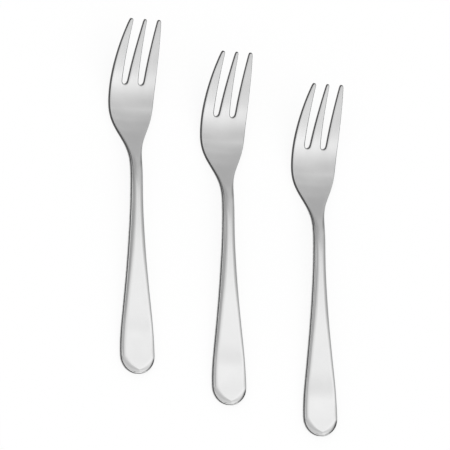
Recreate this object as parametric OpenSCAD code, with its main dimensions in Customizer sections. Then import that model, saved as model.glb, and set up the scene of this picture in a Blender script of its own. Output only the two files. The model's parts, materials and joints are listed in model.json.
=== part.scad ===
// Pastry forks: three alike, each one piece of stamped and polished stainless steel, lying side by side.
// Millimetres, +Z up, handles toward -Y, tines toward +Y. The origin is under the middle of the set.

/* [Set] */
// Length of a fork seen from above, handle end to tine tips
fork_length = 150; // [135:1:175]
// Distance between the centre lines of neighbouring forks
fork_pitch = 44.5; // [30:0.5:70]
// How far each fork lies back from its left-hand neighbour
fork_stagger = 11.3; // [0:0.1:20]

/* [Handle] */
// Width of the handle where its rounded end begins
handle_w = 16.6; // [12:0.2:20]
// Length of the rounded end
handle_end_len = 8; // [6:0.5:11]
// Thickness of the handle
handle_t = 2.2; // [1.8:0.1:3]
// Height by which the handle's top falls from its flat panel to its edge
handle_shoulder = 0.5; // [0.2:0.1:0.8]
// Width of the rounded shoulder between the flat panel and the edge
shoulder_w = 1.8; // [1.4:0.1:2.6]
// Length of the level underside that the handle rests on
rest_len = 9; // [7:0.5:14]

/* [Stem] */
// Width of the stem at its narrowest
stem_w = 5.6; // [4:0.2:7]
// Thickness of the stem where it is thickest
stem_t = 2.6; // [2.2:0.1:3.4]
// Height by which the stem's rounded top falls from its middle to its edge
stem_crown = 0.8; // [0.3:0.1:1.2]
// Distance from the tine tips back to where the stem is thickest and its top roundest
ridge_back = 72; // [66:0.5:80]
// Height of the stem's underside above the table at the crest
stem_rise = 3.9; // [2.5:0.1:7]
// Distance from the tine tips back to the crest of the stem
crest_back = 64; // [60:0.5:70]

/* [Head] */
// Distance from the tine tips back to the narrowest stem
head_length = 62; // [56:0.5:68]
// Greatest width of the head
head_w = 21.8; // [18:0.2:26]
// Distance from the tine tips back to the widest head
widest_back = 27; // [24:0.5:31]
// Distance from the tine tips back to the belly that touches the table
belly_back = 40; // [36:0.5:44]
// Thickness of the head between its belly and the slot roots
head_t = 1.4; // [1.1:0.1:2]
// Height by which the head's edges stand above its middle
head_dish = 0.4; // [0:0.1:1]

/* [Tines] */
// Length of the tines, slot root to tip
tine_length = 26; // [20:0.5:32]
// Height of the tine tips above the table, at their underside
tip_rise = 15.8; // [10:0.2:20]
// Width across the outer edges of the outer tines at their tips
tips_w = 15; // [13.6:0.2:18]
// Thickness of the tine tips
tip_t = 1.1; // [0.8:0.1:1.6]
// Width of a slot just above its round root
slot_root_w = 3; // [2:0.1:3.8]
// Width of a slot at the tips
slot_tip_w = 5.2; // [4.4:0.1:5.4]
// Distance from the centre line to a slot's middle at its root
slot_root_x = 4; // [3.2:0.1:4.6]
// Distance from the centre line to a slot's middle at the tips
slot_tip_x = 3.3; // [3:0.05:3.5]
// Length of the rounded tip of a tine
tip_round = 1; // [0.6:0.1:1.6]

/* [Edges] */
// Size of the small bevel along every edge
edge_round = 0.35; // [0.15:0.05:0.5]

/* [Hidden] */

// Places along the fork, measured from the handle end
ridge_y = fork_length - ridge_back;
crest_y = fork_length - crest_back;
neck_y = fork_length - head_length;
widest_y = fork_length - widest_back;
belly_y = fork_length - belly_back;
slot_y = fork_length - tine_length;

// Each row of a curve holds place, value, slope and bend, as shares of the run and of the change over it
handle_taper_shares = [[0, 0, 0.15, 4.2], [0.35, 0.445, 1.6, 0], [0.725, 0.91, 0.86, -2.3], [1, 1, 0, -5.7]];
head_flare_shares = [[0, 0, 0, 0.9], [0.43, 0.493, 2.4, -0.6], [1, 1, 0, -1.9]];
tine_taper_shares = [[0, 0, 0, 2.5], [1, 1, 2.1, 2.25]];
handle_rise_shares = [[0, 0, 0, 0], [0.22, 0.205, 0.99, 0], [0.79, 0.795, 1.18, 0], [1, 1, 0, -25.3]];
bowl_fall_shares = [[0, 0, 0, 2.5], [1, 1, 0, -3.9]];
tine_rise_shares = [[0, 0, 0, 2.66], [1, 1, 1.57, 0.84]];
even_shares = [[0, 0, 0, 0], [1, 1, 0, 0]];

// Share of the head's dish that is left at the tips
tip_dish_share = 0.3;
// Share of a piece's width or thickness that a bevel may take at most
bevel_limit_share = 0.2;
// Power that sets how full the handle's rounded end is, 1 being a half circle
end_fullness_share = 0.95;

// How finely the form is cut into stations: angles in degrees, then counts
end_angles = [10 : 10 : 90];
root_angles = [18 : 18 : 90];
tip_angles = [70 : -25 : 20];
handle_steps = 16;
head_steps = 14;
tine_steps = 10;
// Length over which a slope is measured
probe = fork_length / 1000;

// One curve piece between knots a and b, each [place, value, slope, bend], read at place x
function between(a, b, x) =
    let (run = b[0] - a[0], s = (x - a[0]) / run)
    a[1] * (1 - 10 * s^3 + 15 * s^4 - 6 * s^5)
    + a[2] * run * (s - 6 * s^3 + 8 * s^4 - 3 * s^5)
    + a[3] * run^2 * s^2 * (1 - s)^3 / 2
    + b[1] * (10 * s^3 - 15 * s^4 + 6 * s^5)
    + b[2] * run * (7 * s^4 - 4 * s^3 - 3 * s^5)
    + b[3] * run^2 * s^3 * (1 - s)^2 / 2;

// The smooth curve through a list of knots, held level before the first and after the last
function read(knots, x, i = 0) =
    x <= knots[0][0] ? knots[0][1]
    : x >= knots[len(knots) - 1][0] ? knots[len(knots) - 1][1]
    : x <= knots[i + 1][0] ? between(knots[i], knots[i + 1], x)
    : read(knots, x, i + 1);

// Knots from rows of shares, between a start [place, value] and an end [place, value]
function knots(shares, from, to) =
    let (run = to[0] - from[0], change = to[1] - from[1])
    [for (row = shares)
        [from[0] + row[0] * run, from[1] + row[1] * change, row[2] * change / run, row[3] * change / run^2]];

// A list of knots without its first, to join it to the list before
function rest(list) = [for (i = [1 : len(list) - 1]) list[i]];

outline = concat(
    knots(handle_taper_shares, [handle_end_len, handle_w / 2], [neck_y, stem_w / 2]),
    rest(knots(head_flare_shares, [neck_y, stem_w / 2], [widest_y, head_w / 2])),
    rest(knots(tine_taper_shares, [widest_y, head_w / 2], [fork_length, tips_w / 2]))
);

side_view = concat(
    knots(handle_rise_shares, [rest_len, 0], [crest_y, stem_rise]),
    rest(knots(bowl_fall_shares, [crest_y, stem_rise], [belly_y, 0])),
    rest(knots(tine_rise_shares, [belly_y, 0], [fork_length, tip_rise]))
);

thickness = concat(
    knots(even_shares, [handle_end_len, handle_t], [ridge_y, stem_t]),
    rest(knots(even_shares, [ridge_y, stem_t], [belly_y, head_t])),
    knots(even_shares, [slot_y, head_t], [fork_length, tip_t])
);

// How far the top falls toward the edges
top_fall = concat(
    knots(even_shares, [handle_end_len, handle_shoulder], [ridge_y, stem_crown]),
    rest(knots(even_shares, [ridge_y, stem_crown], [belly_y, 0]))
);

dish = concat(
    knots(even_shares, [neck_y, 0], [belly_y, head_dish]),
    rest(knots(even_shares, [slot_y, head_dish], [fork_length, head_dish * tip_dish_share]))
);

slot_r = slot_root_w / 2;
slot_middle_share = slot_root_x / read(outline, slot_y);

function slot_x(y) =
    slot_root_x + (slot_tip_x - slot_root_x) * (y - slot_y) / tine_length;

function slot_half(y) =
    slot_r + (slot_tip_w / 2 - slot_r) * (y - slot_y - slot_r) / (tine_length - slot_r);

// A station is [place, share of the outline's width, slot's half-width, share of each tine's width]
end_stations = [for (a = end_angles)
    [handle_end_len * (1 - (cos(a) / cos(end_angles[0]))^end_fullness_share), sin(a)^end_fullness_share, 0, 1]];
handle_stations = [for (k = [1 : handle_steps])
    [handle_end_len + (neck_y - handle_end_len) * k / handle_steps, 1, 0, 1]];
head_stations = [for (k = [1 : head_steps])
    [neck_y + (slot_y - neck_y) * k / head_steps, 1, 0, 1]];
root_stations = [for (a = root_angles)
    [slot_y + slot_r * (1 - cos(a)), 1, slot_r * sin(a), 1]];
tine_stations = [for (k = [1 : tine_steps])
    let (y = slot_y + slot_r + (tine_length - slot_r - tip_round) * k / tine_steps)
    [y, 1, slot_half(y), 1]];
tip_stations = [for (a = tip_angles)
    let (y = fork_length - tip_round * (1 - cos(a) / cos(tip_angles[2])))
    [y, 1, slot_half(y), sin(a)]];

stations = concat(end_stations, handle_stations, head_stations, root_stations, tine_stations, tip_stations);
// The last station before the slots open
split = len(end_stations) + len(handle_stations) + len(head_stations) - 1;

// Strands run side by side, one to each tine, each with this many steps across
strand_count = 3;
strand_steps = 4;
last_strand = strand_count - 1;
strands = [0 : last_strand];

// Left and right edge of strand s at a station
function strand_edges(station, s) =
    let (
        w = read(outline, station[0]) * station[1],
        middle = station[0] < slot_y ? w * slot_middle_share : slot_x(station[0]),
        half = station[2],
        left = s == 0 ? -w : s == 1 ? half - middle : middle + half,
        right = s == 0 ? -middle - half : s == 1 ? middle - half : w,
        centre = (left + right) / 2,
        reach = (right - left) / 2 * station[3]
    )
    [centre - reach, centre + reach];

// Places across a strand: its edges, a bevel's width inside each, and its middle
function strand_places(station, s) =
    let (
        e = strand_edges(station, s),
        w = read(outline, station[0]) * station[1],
        bevel = min(edge_round, w * bevel_limit_share, (e[1] - e[0]) * bevel_limit_share)
    )
    [e[0], e[0] + bevel, (e[0] + e[1]) / 2, e[1] - bevel, e[1]];

// Whether place j across strand s is a free edge at station i
function is_edge(i, s, j) =
    (j == 0 && (s == 0 || i >= split)) || (j == strand_steps && (s == last_strand || i >= split));

function slope_at(y) = (read(side_view, y + probe) - read(side_view, y - probe)) / (2 * probe);

// The point at place x and height h above the underside, square to the side view's curve
function place(y, x, h) =
    let (lean = atan(slope_at(min(y, fork_length - probe))))
    [x, y - h * sin(lean), read(side_view, y) + h * cos(lean)];

// How far out a point lies, as a share of the way from the middle to the outline, round the handle's end too
function off_share(y, x) =
    let (round = max(0, 1 - y / handle_end_len), full = 2 / end_fullness_share)
    min(1, ((abs(x) / read(outline, y))^full + round^full)^(1 / full));

function form_point(i, s, j, top) =
    let (
        y = stations[i][0],
        x = strand_places(stations[i], s)[j],
        t = read(thickness, y),
        off = off_share(y, x),
        flat = max(0, 1 - shoulder_w / read(outline, y)),
        fall = read(top_fall, y) * max(0, (off - flat) / (1 - flat))^2,
        bevel = is_edge(i, s, j) || i == 0 ? min(edge_round, t * bevel_limit_share) : 0,
        lift = read(dish, y) * off^2
    )
    place(y, x, lift + (top ? t - fall - bevel : bevel));

// A row holds the tops from left to right, then the undersides. Past the split the strands no longer share points.
function row_len(i) = strand_count * strand_steps + (i > split ? strand_count : 1);
function row_start(i) =
    2 * (i <= split ? i * row_len(0) : (split + 1) * row_len(0) + (i - split - 1) * row_len(split + 1));
function at(i, s, j, top) =
    row_start(i) + (top ? 0 : row_len(i)) + s * strand_steps + j + (i > split ? s : 0);

points = [for (i = [0 : len(stations) - 1], top = [true, false], s = strands, j = [0 : strand_steps])
    if (i > split || j > 0 || s == 0) form_point(i, s, j, top)];

function quad(a, b, c, d) = [[a, b, c], [a, c, d]];

last = len(stations) - 1;
skin = [for (i = [0 : last - 1], s = strands, j = [0 : strand_steps - 1], side = [true, false])
    each side
        ? quad(at(i, s, j, side), at(i + 1, s, j, side), at(i + 1, s, j + 1, side), at(i, s, j + 1, side))
        : quad(at(i, s, j, side), at(i, s, j + 1, side), at(i + 1, s, j + 1, side), at(i + 1, s, j, side))];
left_walls = [for (i = [0 : last - 1], s = strands)
    if (s == 0 || i >= split)
        each quad(at(i, s, 0, false), at(i + 1, s, 0, false), at(i + 1, s, 0, true), at(i, s, 0, true))];
right_walls = [for (i = [0 : last - 1], s = strands)
    if (s == last_strand || i >= split)
        let (j = strand_steps)
        each quad(at(i, s, j, false), at(i, s, j, true), at(i + 1, s, j, true), at(i + 1, s, j, false))];
handle_cap = [for (s = strands, j = [0 : strand_steps - 1])
    each quad(at(0, s, j, true), at(0, s, j + 1, true), at(0, s, j + 1, false), at(0, s, j, false))];
tip_caps = [for (s = strands, j = [0 : strand_steps - 1])
    each quad(at(last, s, j, true), at(last, s, j, false), at(last, s, j + 1, false), at(last, s, j + 1, true))];

// One fork, its handle end at the origin
module fork() {
    polyhedron(points, concat(skin, left_walls, right_walls, handle_cap, tip_caps));
}

// A fork in its place in the set, so many steps to the right of the middle one
module fork_in_row(step) {
    translate([step * fork_pitch, -fork_length / 2 - step * fork_stagger, 0])
        fork();
}

module fork_left() {
    color("silver") fork_in_row(-1);
}

module fork_middle() {
    color("silver") fork_in_row(0);
}

module fork_right() {
    color("silver") fork_in_row(1);
}

fork_left();
fork_middle();
fork_right();
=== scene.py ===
# Three pastry forks of polished stainless steel, lying side by side on a white table
import json
import math

import bmesh
import bpy
from mathutils import Matrix, Vector
from mathutils.kdtree import KDTree

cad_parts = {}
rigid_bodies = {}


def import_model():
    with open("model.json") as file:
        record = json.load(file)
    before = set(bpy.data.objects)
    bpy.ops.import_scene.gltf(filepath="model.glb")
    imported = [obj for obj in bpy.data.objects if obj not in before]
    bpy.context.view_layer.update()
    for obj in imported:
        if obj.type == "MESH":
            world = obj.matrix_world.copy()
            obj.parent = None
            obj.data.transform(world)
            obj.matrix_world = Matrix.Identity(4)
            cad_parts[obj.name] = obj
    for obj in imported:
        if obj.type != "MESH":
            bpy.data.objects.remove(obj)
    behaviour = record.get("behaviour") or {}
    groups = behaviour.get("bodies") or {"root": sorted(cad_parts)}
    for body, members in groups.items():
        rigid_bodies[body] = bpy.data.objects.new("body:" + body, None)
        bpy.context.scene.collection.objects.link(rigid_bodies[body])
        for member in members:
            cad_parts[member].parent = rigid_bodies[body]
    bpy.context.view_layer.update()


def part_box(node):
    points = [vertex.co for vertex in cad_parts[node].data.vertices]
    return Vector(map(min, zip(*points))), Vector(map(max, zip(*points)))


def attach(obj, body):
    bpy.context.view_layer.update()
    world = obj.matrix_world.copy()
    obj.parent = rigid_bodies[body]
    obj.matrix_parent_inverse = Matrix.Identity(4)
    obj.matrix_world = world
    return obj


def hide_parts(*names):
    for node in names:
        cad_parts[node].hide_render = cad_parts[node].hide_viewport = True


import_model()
print("packed forks loaded")

mm = 0.001

# The fork, in millimetres. A curve's rows hold place, value, slope and bend as shares of its run.
fork = {
    "length": 150,
    "handleWidth": 16.6,
    "handleEnd": 8,
    "endFullness": 0.95,
    "handleThick": 2.2,
    "shoulderFall": 0.5,
    "shoulderWidth": 1.8,
    "crownWidth": 2.5,
    "crownFrom": 38,
    "crownFull": 58,
    "cornerBevel": 0.22,
    "restLength": 9,
    "stemWidth": 5.6,
    "stemThick": 2.6,
    "stemCrown": 0.8,
    "ridgeBack": 72,
    "crestRise": 3.9,
    "crestBack": 64,
    "headLength": 62,
    "headWidth": 21.8,
    "widestBack": 27,
    "bellyBack": 40,
    "headThick": 1.4,
    "headDish": 0.4,
    "tipDish": 0.12,
    "tineLength": 26,
    "tipRise": 15.8,
    "tipsWidth": 15,
    "tipThick": 1.1,
    "slotRootWidth": 3,
    "slotTipWidth": 5.2,
    "slotRootOut": 4,
    "slotTipOut": 3.3,
    "tipRound": 1,
    "handleTaper": [(0, 0, 0.15, 4.2), (0.35, 0.445, 1.6, 0), (0.725, 0.91, 0.86, -2.3), (1, 1, 0, -5.7)],
    "headFlare": [(0, 0, 0, 0.9), (0.43, 0.493, 2.4, -0.6), (1, 1, 0, -1.9)],
    "tineTaper": [(0, 0, 0, 2.5), (1, 1, 2.1, 2.25)],
    "handleRise": [(0, 0, 0, 0), (0.22, 0.205, 0.99, 0), (0.79, 0.795, 1.18, 0), (1, 1, 0, -25.3)],
    "bowlFall": [(0, 0, 0, 2.5), (1, 1, 0, -3.9)],
    "tineRise": [(0, 0, 0, 2.66), (1, 1, 1.57, 0.84)],
    "even": [(0, 0, 0, 0), (1, 1, 0, 0)],
}

# How the sheet is cut into rows and columns
cut = {
    "halfColumns": 10,
    "slotInner": 1,
    "slotOuter": 7,
    "endAngles": range(10, 91, 10),
    "handleRows": 16,
    "headRows": 13,
    "tineRows": 10,
    "tipRows": [(0.36, 0.94), (0.76, 0.8), (1, 0.6)],
    "rootGap": 1.1,
    "edgeStrip": 0.8,
    "edgeStripShare": 0.3,
    "shoulderStrip": 3,
    "shoulderStripShare": 0.6,
    "evenColumns": 8,
    "edgeLoop": 0.12,
    "roundLoop": 0.3,
    "wallLoop": 0.15,
    "rimSteps": 6,
    "rowDigits": 5,
}

# Rounding of the top's edge, in millimetres
edgeRound = {"handle": 0.8, "head": 0.6, "tip": 0.4}


# Value between two knots that meets the slope and bend of both
def between(a, b, x):
    run = b[0] - a[0]
    s = (x - a[0]) / run
    return (
        a[1] * (1 - 10 * s**3 + 15 * s**4 - 6 * s**5)
        + a[2] * run * (s - 6 * s**3 + 8 * s**4 - 3 * s**5)
        + a[3] * run**2 * s**2 * (1 - s) ** 3 / 2
        + b[1] * (10 * s**3 - 15 * s**4 + 6 * s**5)
        + b[2] * run * (7 * s**4 - 4 * s**3 - 3 * s**5)
        + b[3] * run**2 * s**3 * (1 - s) ** 2 / 2
    )


def readCurve(knots, x):
    if x <= knots[0][0]:
        return knots[0][1]
    for a, b in zip(knots, knots[1:]):
        if x <= b[0]:
            return between(a, b, x)
    return knots[-1][1]


# Knots of one stretch of a curve, from its shares and the points at its two ends
def span(shares, start, end):
    run = end[0] - start[0]
    change = end[1] - start[1]
    return [
        (start[0] + p * run, start[1] + v * change, s * change / run, b * change / run**2)
        for p, v, s, b in shares
    ]


def chain(*spans):
    knots = list(spans[0])
    for more in spans[1:]:
        knots += more[1:]
    return knots


ridge = fork["length"] - fork["ridgeBack"]
crest = fork["length"] - fork["crestBack"]
neck = fork["length"] - fork["headLength"]
widest = fork["length"] - fork["widestBack"]
belly = fork["length"] - fork["bellyBack"]
slotRoot = fork["length"] - fork["tineLength"]
slotRadius = fork["slotRootWidth"] / 2

halfHandle = fork["handleWidth"] / 2
halfStem = fork["stemWidth"] / 2
outline = chain(
    span(fork["handleTaper"], (fork["handleEnd"], halfHandle), (neck, halfStem)),
    span(fork["headFlare"], (neck, halfStem), (widest, fork["headWidth"] / 2)),
    span(fork["tineTaper"], (widest, fork["headWidth"] / 2), (fork["length"], fork["tipsWidth"] / 2)),
)
underside = chain(
    span(fork["handleRise"], (fork["restLength"], 0), (crest, fork["crestRise"])),
    span(fork["bowlFall"], (crest, fork["crestRise"]), (belly, 0)),
    span(fork["tineRise"], (belly, 0), (fork["length"], fork["tipRise"])),
)
thickness = chain(
    span(fork["even"], (fork["handleEnd"], fork["handleThick"]), (ridge, fork["stemThick"])),
    span(fork["even"], (ridge, fork["stemThick"]), (belly, fork["headThick"])),
    span(fork["even"], (belly, fork["headThick"]), (slotRoot, fork["headThick"])),
    span(fork["even"], (slotRoot, fork["headThick"]), (fork["length"], fork["tipThick"])),
)
topFall = chain(
    span(fork["even"], (fork["handleEnd"], fork["shoulderFall"]), (ridge, fork["stemCrown"])),
    span(fork["even"], (ridge, fork["stemCrown"]), (belly, 0)),
)
shoulder = span(
    fork["even"], (fork["crownFrom"], fork["shoulderWidth"]), (fork["crownFull"], fork["crownWidth"])
)
dish = chain(
    span(fork["even"], (neck, 0), (belly, fork["headDish"])),
    span(fork["even"], (slotRoot, fork["headDish"]), (fork["length"], fork["tipDish"])),
)
rounding = chain(
    span(fork["even"], (ridge, edgeRound["handle"]), (crest, edgeRound["head"])),
    span(fork["even"], (slotRoot, edgeRound["head"]), (fork["length"], edgeRound["tip"])),
)


def slotMiddle(y):
    lean = (fork["slotTipOut"] - fork["slotRootOut"]) / fork["tineLength"]
    return fork["slotRootOut"] + lean * (y - slotRoot)


def slotHalf(y):
    grow = fork["slotTipWidth"] / 2 - slotRadius
    return slotRadius + grow * (y - slotRoot - slotRadius) / (fork["tineLength"] - slotRadius)


def smooth(s):
    s = min(1, max(0, s))
    return s * s * (3 - 2 * s)


# Rows along the fork: place, share of the outline's width, share of each tine's width
def makeRows():
    rows = []
    full = fork["endFullness"]
    first = math.radians(cut["endAngles"][0])
    for degrees in cut["endAngles"]:
        a = math.radians(degrees)
        back = (max(0, math.cos(a)) / math.cos(first)) ** full
        rows.append((fork["handleEnd"] * (1 - back), math.sin(a) ** full, 1))
    for k in range(1, cut["handleRows"] + 1):
        rows.append((fork["handleEnd"] + (neck - fork["handleEnd"]) * k / cut["handleRows"], 1, 1))
    for k in range(1, cut["headRows"] + 1):
        rows.append((neck + (slotRoot - cut["rootGap"] - neck) * k / cut["headRows"], 1, 1))
    rootRow = len(rows)
    start = slotRoot + slotRadius
    straight = fork["tineLength"] - slotRadius - fork["tipRound"]
    for k in range(cut["tineRows"] + 1):
        rows.append((start + straight * k / cut["tineRows"], 1, 1))
    for along, wide in cut["tipRows"]:
        rows.append((fork["length"] - fork["tipRound"] * (1 - along), 1, wide))
    return rows, rootRow


# Distances of the half columns from the centre line, in a row of the solid handle, stem or head
def bodyColumns(y, wide):
    w = readCurve(outline, y) * wide
    strip = w - min(cut["edgeStrip"], cut["edgeStripShare"] * w)
    inner = w - min(cut["shoulderStrip"], cut["shoulderStripShare"] * w)
    even = [inner * j / cut["evenColumns"] for j in range(cut["evenColumns"] + 1)]
    plain = even + [strip, w]
    root = slotColumns(w)
    mix = smooth((y - neck) / (slotRoot - cut["rootGap"] - neck))
    return [a + (b - a) * mix for a, b in zip(plain, root)]


# Angle of a half column around the round root of its slot
def rootAngle(j):
    return math.pi * ((j - cut["slotInner"]) / (cut["slotOuter"] - cut["slotInner"]) - 0.5)


def slotColumns(w):
    turns = [rootAngle(j) for j in range(cut["slotInner"], cut["slotOuter"] + 1)]
    arc = [fork["slotRootOut"] + slotRadius * math.sin(a) for a in turns]
    return [0] + arc + outerTine(arc[-1], w, 1)


def outerTine(inner, outer, wide):
    centre = (inner + outer) / 2
    half = (outer - inner) / 2 * wide
    return [centre, centre + half / 2, centre + half]


def tineColumns(y, wide):
    inner = (slotMiddle(y) - slotHalf(y)) * wide
    outerEdge = readCurve(outline, y)
    innerEdge = slotMiddle(y) + slotHalf(y)
    centre = (innerEdge + outerEdge) / 2
    gap = [None] * (cut["slotOuter"] - cut["slotInner"] - 1)
    near = centre - (outerEdge - innerEdge) / 2 * wide
    return [0, inner] + gap + [near] + outerTine(innerEdge, outerEdge, wide)


def pick(mesh, numbers):
    bm = bmesh.from_edit_mesh(mesh)
    bm.verts.ensure_lookup_table()
    for v in bm.verts:
        v.select = False
    for n in numbers:
        bm.verts[n].select = True
    bm.select_flush_mode()


def deselectAll():
    for o in bpy.context.scene.objects:
        o.select_set(False)


def selectOnly(thing):
    deselectAll()
    thing.select_set(True)
    bpy.context.view_layer.objects.active = thing


def buildFork():
    rows, rootRow = makeRows()
    half = cut["halfColumns"]
    wide = 2 * half + 1
    deselectAll()
    bpy.ops.mesh.primitive_grid_add(x_subdivisions=2 * half, y_subdivisions=len(rows) - 1, size=2)
    piece = bpy.context.object
    piece.name = "forkModel"
    mesh = piece.data
    corners = [v.co for v in mesh.vertices]
    order = sorted(range(len(corners)), key=lambda n: (round(corners[n].y, cut["rowDigits"]), corners[n].x))
    at = [order[r * wide:(r + 1) * wide] for r in range(len(rows))]
    startY = [mesh.vertices[row[0]].co.y for row in at]
    bpy.ops.object.mode_set(mode="EDIT")
    bpy.ops.mesh.select_mode(type="VERT")
    for r, (y, share, tine) in enumerate(rows):
        if r < rootRow:
            places = bodyColumns(y, share)
        else:
            places = tineColumns(y, tine)
        for j in range(1, half + 1):
            if places[j] is None:
                continue
            pick(mesh, [at[r][half - j], at[r][half + j]])
            bpy.ops.transform.resize(value=(places[j] * half / j, 1, 1), center_override=(0, startY[r], 0))
            lift = readCurve(dish, y) * (places[j] / readCurve(outline, y)) ** 2
            if y > neck:
                bpy.ops.transform.translate(value=(0, 0, lift))
        pick(mesh, at[r])
        bpy.ops.transform.translate(value=(0, y - startY[r], readCurve(underside, y)))
    # The slots' round roots
    y = rows[rootRow][0]
    for j in range(cut["slotInner"] + 1, cut["slotOuter"]):
        a = rootAngle(j)
        x = slotMiddle(y) + slotHalf(y) * math.sin(a)
        drop = -slotHalf(y) * math.cos(a)
        pick(mesh, [at[rootRow][half - j], at[rootRow][half + j]])
        bpy.ops.transform.resize(value=(x * half / j, 1, 1), center_override=(0, y, 0))
        lift = readCurve(dish, y) * (x / readCurve(outline, y)) ** 2
        lift += readCurve(underside, y + drop) - readCurve(underside, y)
        bpy.ops.transform.translate(value=(0, drop, lift))
    # The slots are cut out
    where = {n: (r, c) for r, row in enumerate(at) for c, n in enumerate(row)}
    bm = bmesh.from_edit_mesh(mesh)
    bpy.ops.mesh.select_mode(type="FACE")
    for face in bm.faces:
        spots = [where[v.index] for v in face.verts]
        columns = [abs(c - half) for r, c in spots]
        inSlot = min(columns) >= cut["slotInner"] and max(columns) <= cut["slotOuter"]
        face.select = inSlot and min(r for r, c in spots) >= rootRow
    bpy.ops.mesh.delete(type="FACE")
    # A narrow strip along the whole outline holds the edges when the sheet is subdivided
    bpy.ops.mesh.select_all(action="SELECT")
    bpy.ops.mesh.inset(thickness=cut["edgeLoop"], use_boundary=True, use_even_offset=True)
    bpy.ops.mesh.select_all(action="INVERT")
    piece.data.materials.append(makeSteel())
    # Slot 1 goes to the outline strip and, once thickened, the walls: stamped steel coloured with painted
    # shade and a painted reflection of the table at its foot
    piece.data.materials.append(makePaintedShadeEdge())
    piece.active_material_index = 1
    bpy.ops.object.material_slot_assign()
    bpy.ops.mesh.select_all(action="INVERT")
    bpy.ops.mesh.inset(thickness=cut["roundLoop"], use_boundary=True, use_even_offset=True)
    bpy.ops.mesh.select_all(action="DESELECT")
    bpy.ops.object.mode_set(mode="OBJECT")
    addSubdivision(piece, 1)
    return piece


def addSubdivision(piece, level):
    bpy.context.view_layer.objects.active = piece
    smoother = piece.modifiers.new("smoother", "SUBSURF")
    smoother.levels = level
    smoother.render_levels = level
    bpy.ops.object.modifier_apply(modifier=smoother.name)


# How far the top lies below the middle's thickness at a point of the sheet. The end's bevel is widest at
# the corners, so that the flat top comes to a soft point.
def topDrop(x, y):
    w = readCurve(outline, y)
    full = 2 / fork["endFullness"]
    side = abs(x) / w
    back = max(0, 1 - y / fork["handleEnd"])
    off = min(1, (side**full + back**full) ** (1 / full))
    corner = math.sin(2 * math.atan2(back, side))
    flat = max(0, 1 - readCurve(shoulder, y) / w) - fork["cornerBevel"] * corner
    return readCurve(topFall, y) * max(0, (off - flat) / (1 - flat)) ** 2


def edgeDrop(distance, radius):
    inside = max(0, radius - distance)
    return radius - math.sqrt(radius**2 - inside**2)


# Points along the sheet's outline, in plan, to measure how far a place is from the edge
def rimPoints(mesh):
    bm = bmesh.new()
    bm.from_mesh(mesh)
    points = []
    for e in bm.edges:
        if e.is_boundary:
            a, b = e.verts[0].co, e.verts[1].co
            points += [a.lerp(b, k / cut["rimSteps"]) for k in range(cut["rimSteps"])]
    bm.free()
    tree = KDTree(len(points))
    for n, p in enumerate(points):
        tree.insert((p.x, p.y, 0), n)
    tree.balance()
    return tree


def giveThickness(piece):
    mesh = piece.data
    thickest = max(fork["handleThick"], fork["stemThick"])
    firstRim = 2 * len(mesh.polygons)
    rim = rimPoints(mesh)
    plate = piece.vertex_groups.new(name="plate")
    uv = mesh.uv_layers.active
    uv.name = "plan"
    for v in mesh.vertices:
        distance = rim.find((v.co.x, v.co.y, 0))[2]
        drop = topDrop(v.co.x, v.co.y) + edgeDrop(distance, readCurve(rounding, v.co.y))
        plate.add([v.index], (readCurve(thickness, v.co.y) - drop) / thickest, "REPLACE")
    for corner in mesh.loops:
        co = mesh.vertices[corner.vertex_index].co
        uv.data[corner.index].uv = (co.x * mm, co.y * mm)
    solid = piece.modifiers.new("solid", "SOLIDIFY")
    solid.thickness = thickest
    solid.offset = 1
    solid.vertex_group = plate.name
    solid.use_rim = True
    bpy.ops.object.modifier_apply(modifier=solid.name)
    bpy.ops.object.mode_set(mode="EDIT")
    bpy.ops.mesh.select_mode(type="FACE")
    bm = bmesh.from_edit_mesh(mesh)
    for face in bm.faces:
        face.select = face.index >= firstRim
    bmesh.update_edit_mesh(mesh)
    bpy.ops.mesh.inset(thickness=cut["wallLoop"], use_boundary=True, use_even_offset=True)
    bpy.ops.mesh.select_all(action="SELECT")
    bpy.ops.mesh.normals_make_consistent(inside=False)
    bpy.ops.mesh.select_all(action="DESELECT")
    bpy.ops.object.mode_set(mode="OBJECT")
    addSubdivision(piece, 1)
    # Each point's height as a share of the thickness, for the painted reflection of the table on the foot
    # of the edge
    rise = mesh.attributes.new("rise", "FLOAT", "POINT")
    for v in mesh.vertices:
        rise.data[v.index].value = (v.co.z - readCurve(underside, v.co.y)) / readCurve(thickness, v.co.y)


def newMaterial(name):
    made = bpy.data.materials.new(name)
    made.use_nodes = True
    tree = made.node_tree
    return made, tree, tree.nodes["Principled BSDF"]


def addNode(tree, kind, **sockets):
    node = tree.nodes.new(kind)
    for name, value in sockets.items():
        socket = node.inputs[name]
        if isinstance(value, bpy.types.NodeSocket):
            tree.links.new(value, socket)
        else:
            socket.default_value = value
    return node


def addMath(tree, operation, a, b=0.0, c=0.0):
    node = tree.nodes.new("ShaderNodeMath")
    node.operation = operation
    for socket, value in zip(node.inputs, (a, b, c)):
        if isinstance(value, bpy.types.NodeSocket):
            tree.links.new(value, socket)
        else:
            socket.default_value = value
    return node.outputs[0]


# A value that goes smoothly, or else evenly, from one level to another as the input passes two places
def addRange(tree, value, fromMin, fromMax, toMin=0.0, toMax=1.0, smoothly=True):
    node = tree.nodes.new("ShaderNodeMapRange")
    node.interpolation_type = "SMOOTHSTEP" if smoothly else "LINEAR"
    tree.links.new(value, node.inputs["Value"])
    node.inputs["From Min"].default_value = fromMin
    node.inputs["From Max"].default_value = fromMax
    node.inputs["To Min"].default_value = toMin
    node.inputs["To Max"].default_value = toMax
    return node.outputs["Result"]


# Noise, for every finish. Most of its values lie in the range.
noiseDetail = 3
noiseRoughness = 0.55
noiseRange = (0.3, 0.7)
noiseMiddle = 0.5


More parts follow.
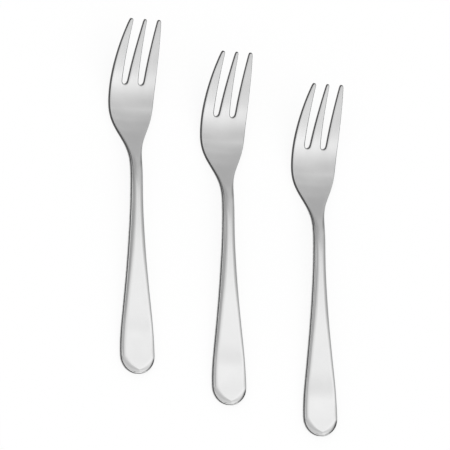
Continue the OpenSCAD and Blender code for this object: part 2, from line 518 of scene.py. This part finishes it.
# Noise on the given coordinates, stretched by the scales along its axes and turned about the vertical
def addNoise(tree, coordinates, scales, turn=0.0):
    place = addNode(tree, "ShaderNodeMapping", Vector=coordinates, Rotation=(0, 0, turn))
    stretch = addNode(tree, "ShaderNodeMapping", Vector=place.outputs[0], Scale=scales)
    noise = addNode(tree, "ShaderNodeTexNoise", Vector=stretch.outputs[0], Scale=1, Detail=noiseDetail)
    noise.inputs["Roughness"].default_value = noiseRoughness
    return noise.outputs["Fac"]


# A grey metal of the given level, roughness and height
def finishMetal(tree, shader, level, rough, height):
    colour = addNode(tree, "ShaderNodeCombineColor", Red=level, Green=level, Blue=level)
    bump = addNode(tree, "ShaderNodeBump", Strength=1, Distance=1, Height=height)
    tree.links.new(colour.outputs[0], shader.inputs["Base Color"])
    tree.links.new(rough, shader.inputs["Roughness"])
    tree.links.new(bump.outputs[0], shader.inputs["Normal"])
    shader.inputs["Metallic"].default_value = 1


# Finish of the steel. Lengths in metres; grain scales are features per metre across and along.
steel = {
    "colour": 0.83,
    "colourSpread": 0.02,
    "handleRoughness": 0.09,
    "headRoughness": 0.14,
    "smudgeScale": 110,
    "smudgeSpread": 0.03,
    "grainScales": (2600, 380, 1),
    "grainTurn": math.radians(-28),
    "grainSpread": 0.08,
    "grainDepth": 0.000004,
    "polishScales": (5200, 260, 1),
    "polishDepth": 0.0000006,
    "satinStart": 0.080,
    "satinEnd": 0.086,
    "tongueSlope": 2.6,
}


def makeSteel():
    made, tree, shader = newMaterial("polishedSteel")
    plan = addNode(tree, "ShaderNodeUVMap")
    plan.uv_map = "plan"
    plan = plan.outputs[0]
    axes = addNode(tree, "ShaderNodeSeparateXYZ", Vector=plan).outputs
    side = addMath(tree, "ABSOLUTE", axes["X"])
    reach = addMath(tree, "MULTIPLY_ADD", side, -steel["tongueSlope"], axes["Y"])
    satin = addRange(tree, reach, steel["satinStart"], steel["satinEnd"])
    place = addNode(tree, "ShaderNodeTexCoord").outputs["Object"]
    smudge = addNoise(tree, place, (steel["smudgeScale"],) * 3)
    grain = addNoise(tree, plan, steel["grainScales"], steel["grainTurn"])
    polish = addNoise(tree, plan, steel["polishScales"])
    # Roughness: mirror-like handle, satin head, smudges all over
    base = addRange(tree, satin, 0, 1, steel["handleRoughness"], steel["headRoughness"], smoothly=False)
    cloud = addMath(tree, "SUBTRACT", smudge, noiseMiddle)
    smudged = addMath(tree, "MULTIPLY_ADD", cloud, steel["smudgeSpread"] * 2, base)
    stroke = addMath(tree, "SUBTRACT", grain, noiseMiddle)
    grained = addMath(tree, "MULTIPLY", stroke, steel["grainSpread"] * 2)
    rough = addMath(tree, "MULTIPLY_ADD", grained, satin, smudged)
    # Colour: a little cloudiness
    low = steel["colour"] - steel["colourSpread"]
    high = steel["colour"] + steel["colourSpread"]
    level = addRange(tree, smudge, *noiseRange, low, high, smoothly=False)
    # Bump: fine polishing lines all over, brushed grain on the head
    lines = addMath(tree, "MULTIPLY", polish, steel["polishDepth"])
    grainHeight = addMath(tree, "MULTIPLY", grain, addMath(tree, "MULTIPLY", satin, steel["grainDepth"]))
    finishMetal(tree, shader, level, rough, addMath(tree, "ADD", lines, grainHeight))
    return made


# The stamped edge all round, rougher than the polished faces, darkened with painted shade for the dark
# surroundings it reflects, and lighter toward its foot with a painted reflection of the white table. Where
# the foot begins and ends is a share of the thickness.
edge = {
    "paintedShadeDark": 0.06,
    "light": 0.11,
    "footPaintedLight": 7,
    "footFrom": 0.05,
    "footTo": 0.45,
    "roughness": 0.36,
    "roughnessSpread": 0.08,
    "markScales": (2200, 2200, 260),
    "markDepth": 0.000004,
}


def makePaintedShadeEdge():
    made, tree, shader = newMaterial("stampedEdgePaintedShade")
    place = addNode(tree, "ShaderNodeTexCoord").outputs["Object"]
    marks = addNoise(tree, place, edge["markScales"])
    rise = addNode(tree, "ShaderNodeAttribute")
    rise.attribute_name = "rise"
    # Painted reflection of the white table: the wall's colour is multiplied up toward its foot, by each
    # point's height
    paintedTableLight = addRange(tree, rise.outputs["Fac"], edge["footFrom"], edge["footTo"], edge["footPaintedLight"], 1)
    # The wall's darkness is painted shade, varied at random between its two levels by the stamping marks
    marksAndPaintedShade = addRange(tree, marks, *noiseRange, edge["paintedShadeDark"], edge["light"], smoothly=False)
    low = edge["roughness"] - edge["roughnessSpread"]
    high = edge["roughness"] + edge["roughnessSpread"]
    rough = addRange(tree, marks, *noiseRange, low, high, smoothly=False)
    height = addMath(tree, "MULTIPLY", marks, edge["markDepth"])
    finishMetal(tree, shader, addMath(tree, "MULTIPLY", marksAndPaintedShade, paintedTableLight), rough, height)
    return made


model = buildFork()
giveThickness(model)
selectOnly(model)
bpy.ops.object.shade_smooth()
print("fork modelled:", len(model.data.polygons), "faces")

for name, node, body in [
    ("leftFork", "fork_left", "left_fork"),
    ("middleFork", "fork_middle", "middle_fork"),
    ("rightFork", "fork_right", "right_fork"),
]:
    low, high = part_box(node)
    selectOnly(model)
    bpy.ops.object.duplicate()
    piece = bpy.context.object
    piece.name = name
    piece.data.name = name
    piece.scale = (mm, mm, mm)
    piece.location = ((low.x + high.x) / 2, low.y, low.z)
    bpy.ops.object.transform_apply(location=True, rotation=True, scale=True)
    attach(piece, body)
    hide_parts(node)
bpy.data.objects.remove(model)
print("forks laid out")

# Studio: white light from all sides, a white table, and a tent, a scrim and a flag whose greys only the
# steel reflects. Greys are listed as place and level; lengths are in metres.
studio = {
    "light": 1.0,
    "tableSize": 3,
    "tableGlow": 0.8,
    "paperRoughness": 0.9,
    "tentRadius": 2.5,
    "tentSegments": 48,
    "tentRings": 24,
    "alongForks": [
        (-1, 1), (-0.5, 1), (-0.43, 1.06), (-0.34, 0.97), (-0.23, 0.8), (-0.15, 0.72), (-0.1, 0.7),
        (-0.07, 0.71), (-0.03, 0.79), (0.02, 0.93), (0.03, 1.03), (0.06, 1), (0.18, 1), (0.25, 1.07),
        (0.75, 1.07), (0.95, 0.6), (1, 0.55),
    ],
    "acrossFront": [
        (-1, 0.75), (-0.62, 0.8), (-0.35, 0.42), (-0.2, 0.42), (0.15, 0.75), (0.35, 0.9), (0.49, 1.02),
        (0.62, 1.06), (0.8, 0.92), (1, 0.5),
    ],
    "acrossTines": [
        (-1, 0.85), (0.35, 0.86), (0.5, 0.98), (0.67, 1.12), (0.73, 0.5), (0.8, 0.1), (1, 0.05),
    ],
    "acrossBack": [
        (-1, 0.1), (-0.5, 0.45), (-0.3, 0.65), (0.1, 0.65), (0.4, 0.84), (0.65, 0.9), (0.85, 0.4), (1, 0.2),
    ],
    "acrossFar": [(-1, 1.2), (-0.3, 1.2), (0.2, 0.78), (0.6, 0.78), (0.72, 0.3), (1, 0.1)],
    "tinesTo": (-0.03, 0.025),
    "backFrom": (0.2, 0.36),
    "farFrom": (0.5, 0.6),
    "scrimHeight": 0.4,
    "scrimReach": 2,
    "scrimOut": 0.232,
    "scrimTurn": math.radians(-14.25),
    "scrim": [
        (-1, 0.76), (-0.37, 0.76), (-0.32, 0.82), (-0.23, 0.84), (-0.175, 1), (-0.003, 1), (0.018, 0.86),
        (0.05, 0.67), (0.11, 0.575), (0.32, 0.575), (1, 0.57),
    ],
    "flagHeight": 0.36,
    "flagSize": 1.5,
    "flagRight": -0.18,
    "flagFront": 0.02,
    "flag": [(-1, 1), (-0.75, 1), (-0.73, 0.7), (-0.69, 0.45), (-0.45, 0.45), (-0.38, 1), (1, 1)],
}

world = bpy.data.worlds.new("studio")
bpy.context.scene.world = world
world.use_nodes = True
world.node_tree.nodes["Background"].inputs["Color"].default_value = (1, 1, 1, 1)
world.node_tree.nodes["Background"].inputs["Strength"].default_value = studio["light"]


# White paper that glows a little, so that only a faint part of the forks' shadow shows
def makePaper():
    made, tree, shader = newMaterial("whitePaper")
    shader.inputs["Base Color"].default_value = (1, 1, 1, 1)
    shader.inputs["Roughness"].default_value = studio["paperRoughness"]
    shader.inputs["Specular IOR Level"].default_value = 0
    glow = addNode(tree, "ShaderNodeEmission", Strength=studio["light"])
    mix = addNode(tree, "ShaderNodeMixShader", Fac=studio["tableGlow"])
    tree.links.new(shader.outputs[0], mix.inputs[1])
    tree.links.new(glow.outputs[0], mix.inputs[2])
    tree.links.new(mix.outputs[0], tree.nodes["Material Output"].inputs["Surface"])
    return made


# Greys at places from -1 to 1
def addGreys(tree, value, stops):
    ramp = tree.nodes.new("ShaderNodeValToRGB")
    while len(ramp.color_ramp.elements) < len(stops):
        ramp.color_ramp.elements.new(1)
    for element, (place, grey) in zip(ramp.color_ramp.elements, stops):
        element.position = (place + 1) / 2
        element.color = (grey, grey, grey, 1)
    tree.links.new(addRange(tree, value, -1, 1, smoothly=False), ramp.inputs[0])
    return ramp.outputs[0]


def addBlend(tree, share, first, second):
    blend = tree.nodes.new("ShaderNodeMix")
    tree.links.new(share, blend.inputs["Factor"])
    tree.links.new(first, blend.inputs["A"])
    tree.links.new(second, blend.inputs["B"])
    return blend.outputs["Result"]


# The tent's grey changes along the forks, and also across them, with four bands from front to back
def makeTent():
    made, tree, shader = newMaterial("lightTent")
    tree.nodes.remove(shader)
    place = addNode(tree, "ShaderNodeTexCoord").outputs["Object"]
    direction = tree.nodes.new("ShaderNodeVectorMath")
    direction.operation = "NORMALIZE"
    tree.links.new(place, direction.inputs[0])
    axes = addNode(tree, "ShaderNodeSeparateXYZ", Vector=direction.outputs[0]).outputs
    along = addGreys(tree, axes["Y"], studio["alongForks"])
    across = addGreys(tree, axes["X"], studio["acrossTines"])
    for greys, limits in (("acrossFront", "tinesTo"), ("acrossBack", "backFrom"), ("acrossFar", "farFrom")):
        more = addGreys(tree, axes["X"], studio[greys])
        across = addBlend(tree, addRange(tree, axes["Y"], *studio[limits]), across, more)
    level = addMath(tree, "MULTIPLY", along, across)
    glow = addNode(tree, "ShaderNodeEmission", Color=(1, 1, 1, 1), Strength=level)
    tree.links.new(glow.outputs[0], tree.nodes["Material Output"].inputs["Surface"])
    return made


# A grey cloth that lets through a share of the light, which changes along it
def makeCloth(name):
    made, tree, shader = newMaterial(name)
    tree.nodes.remove(shader)
    place = addNode(tree, "ShaderNodeTexCoord").outputs["Object"]
    along = addNode(tree, "ShaderNodeSeparateXYZ", Vector=place).outputs["Y"]
    veil = addNode(tree, "ShaderNodeBsdfTransparent", Color=addGreys(tree, along, studio[name]))
    tree.links.new(veil.outputs[0], tree.nodes["Material Output"].inputs["Surface"])
    return made


def hideFromLight(thing):
    thing.visible_camera = False
    thing.visible_diffuse = False
    thing.visible_shadow = False


def addSheet(name, size, material):
    deselectAll()
    bpy.ops.mesh.primitive_plane_add(size=size, location=(0, 0, 0))
    sheet = bpy.context.object
    sheet.name = name
    sheet.data.materials.append(material)
    return sheet


table = addSheet("table", studio["tableSize"], makePaper())

deselectAll()
bpy.ops.mesh.primitive_uv_sphere_add(
    segments=studio["tentSegments"], ring_count=studio["tentRings"], radius=studio["tentRadius"]
)
tent = bpy.context.object
tent.name = "lightTent"
tent.data.materials.append(makeTent())
hideFromLight(tent)

# A scrim over the forks, clear over their middle and denser toward front and back, dims what they reflect
scrim = addSheet("scrim", 2 * studio["scrimReach"], makeCloth("scrim"))
scrim.location = (studio["scrimOut"], 0, studio["scrimHeight"])
scrim.rotation_euler.z = studio["scrimTurn"]
hideFromLight(scrim)

# A smaller flag over the left side darkens the left shoulders of the stems
flag = addSheet("flag", studio["flagSize"], makeCloth("flag"))
flagHalf = studio["flagSize"] / 2
flag.location = (studio["flagRight"] - flagHalf, studio["flagFront"] + flagHalf, studio["flagHeight"])
hideFromLight(flag)
print("table and light tent set up")

camera = bpy.data.cameras.new("photoCamera")
cameraObject = bpy.data.objects.new("photoCamera", camera)
bpy.context.scene.collection.objects.link(cameraObject)
bpy.context.scene.camera = cameraObject
view = {
    "lens": 1000,
    "sensor": 36,
    "frameWidth": 0.19157,
    "centre": Vector((-0.587, 2.194, 2.426)) * mm,
    "right": Vector((0.8657, -0.0306, 0.4996)),
    "up": Vector((-0.0544, 0.9864, 0.1546)),
    "clipEnd": 20,
}
camera.lens = view["lens"]
camera.sensor_width = view["sensor"]
camera.clip_end = view["clipEnd"]
toward = view["right"].cross(view["up"]).normalized()
up = toward.cross(view["right"]).normalized()
right = up.cross(toward).normalized()
distance = view["frameWidth"] * view["lens"] / view["sensor"]
place = view["centre"] + toward * distance
cameraObject.matrix_world = Matrix((
    (right.x, up.x, toward.x, place.x),
    (right.y, up.y, toward.y, place.y),
    (right.z, up.z, toward.z, place.z),
    (0, 0, 0, 1),
))

bpy.context.scene.view_settings.view_transform = "Standard"
